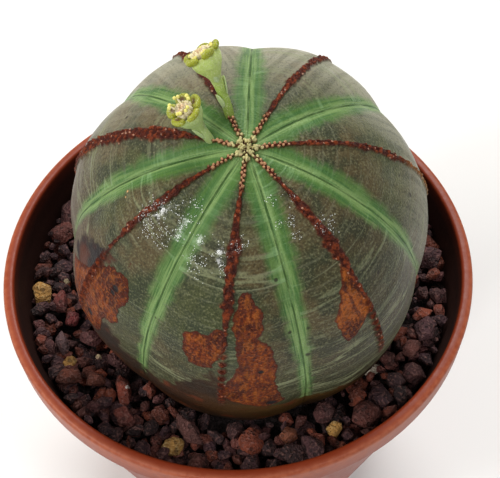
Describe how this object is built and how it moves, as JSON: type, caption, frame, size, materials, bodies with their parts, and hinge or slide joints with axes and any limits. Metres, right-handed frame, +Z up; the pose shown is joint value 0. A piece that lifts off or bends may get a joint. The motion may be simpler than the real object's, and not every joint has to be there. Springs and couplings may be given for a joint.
{
  "type": "potted globe succulent",
  "caption": "Ribbed globe succulent with rows of knobs along its ribs and small stalked flowers near the crown, in lava grit in a round tapered nursery pot.",
  "frame": {"origin": "middle of the pot's foot ring, on the surface that the pot stands on", "axes": "+Z up along the pot's axis, -Y to the side that the globe leans to, +X to the right of that"},
  "size_m": [0.085, 0.085, 0.1234],
  "materials": {
    "terracotta plastic": "satin moulded polypropylene, orange-brown, paler where the rim is worn",
    "red lava": "matt pitted lava grit, purple-brown to red-brown",
    "ochre pumice": "matt porous grain, ochre",
    "white quartz": "slightly glossy whitish grain",
    "grey-green skin": "satin waxy skin, grey-green between the ribs' crests and green along the grooves, with corky brown scars",
    "flower green": "smooth waxy yellow-green",
    "pollen yellow": "fine matt pollen on cream threads"
  },
  "bodies": {
    "root": {"pot": "terracotta plastic", "lava_grit": "red lava", "pumice_chip_1": "ochre pumice", "pumice_chip_2": "ochre pumice", "pumice_chip_3": "ochre pumice", "pumice_chip_4": "ochre pumice", "quartz_grain": "white quartz", "plant_body": "grey-green skin", "flower_short": "flower green", "flower_short_stamens": "pollen yellow", "flower_tall": "flower green", "flower_tall_stamens": "pollen yellow"}
  },
  "joints": []
}
